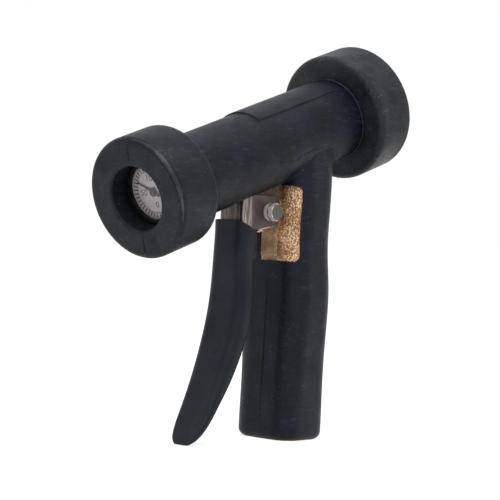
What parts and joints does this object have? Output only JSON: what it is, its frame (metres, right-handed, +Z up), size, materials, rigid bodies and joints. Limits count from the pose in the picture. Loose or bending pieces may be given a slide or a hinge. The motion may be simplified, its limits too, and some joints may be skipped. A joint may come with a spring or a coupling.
{
  "type": "washdown spray gun",
  "caption": "Rubber-clad washdown spray gun with an upright handle, a rear squeeze lever that opens its valve, and a dial thermometer in the rear bumper.",
  "frame": {"origin": "centre of the hose inlet's mouth on the handle's foot", "axes": "+Z up along the handle, +X towards the spray outlet, +Y to the gun's left; the barrel tilts up forward by 18 degrees"},
  "size_m": [0.1891, 0.0668, 0.2064],
  "materials": {
    "bronze": "rough sand-cast",
    "cover_rubber": "matte moulded",
    "bumper_rubber": "matte moulded",
    "sleeve_rubber": "matte moulded",
    "gasket_rubber": "matte",
    "packing": "matte",
    "brass": "turned",
    "stainless": "brushed",
    "bright_steel": "satin",
    "dial_white": "printed",
    "pointer_black": "matte",
    "lens": "clear"
  },
  "bodies": {
    "gun": {"valve_body": "bronze", "body_cover": "cover_rubber", "rear_bumper": "bumper_rubber", "front_bumper": "bumper_rubber", "spray_nozzle": "brass", "nozzle_gasket": "gasket_rubber", "packing_ring_1": "packing", "packing_ring_2": "packing", "packing_ring_3": "packing", "packing_follower": "brass", "packing_nut": "brass", "return_spring": "bright_steel", "rear_cap": "brass", "thermometer_case": "bright_steel", "thermometer_probe": "stainless", "dial_plate": "dial_white", "dial_lens": "lens", "dial_bezel": "bright_steel", "pivot_bushing": "brass"},
    "lever": {"lever": "stainless", "lever_grip": "sleeve_rubber", "lock_washer": "bright_steel", "pivot_bolt": "bright_steel", "pivot_nut": "bright_steel"},
    "stem": {"valve_stem": "stainless", "disc_holder": "brass", "seat_disc": "gasket_rubber", "spray_tip": "brass", "stem_collar": "stainless", "lock_nut": "bright_steel"},
    "pointer": {"pointer": "pointer_black", "pointer_hub": "pointer_black"}
  },
  "joints": [
    {"name": "lever_squeeze", "type": "hinge", "parent": "gun", "child": "lever", "pos_m": [-0.0277, 0, 0.1165], "axis": [0, -1, 0], "range_deg": [0, 17], "stiffness_Nm_per_rad": 4, "springref_deg": -17.19},
    {"name": "stem_slide", "type": "slide", "parent": "gun", "child": "stem", "axis": [-0.9511, 0, -0.309], "range_m": [0, 0.0084], "deforming": ["return_spring"]},
    {"name": "pointer_turn", "type": "hinge", "parent": "gun", "child": "pointer", "pos_m": [-0.10424, 0, 0.12343], "axis": [-0.9511, 0, -0.309], "range_deg": [-200, 70], "stiffness_Nm_per_rad": 0.00002}
  ],
  "couplings": [
    {"joint": "stem_slide", "follows": "lever_squeeze", "m_per_rad": 0.028}
  ]
}
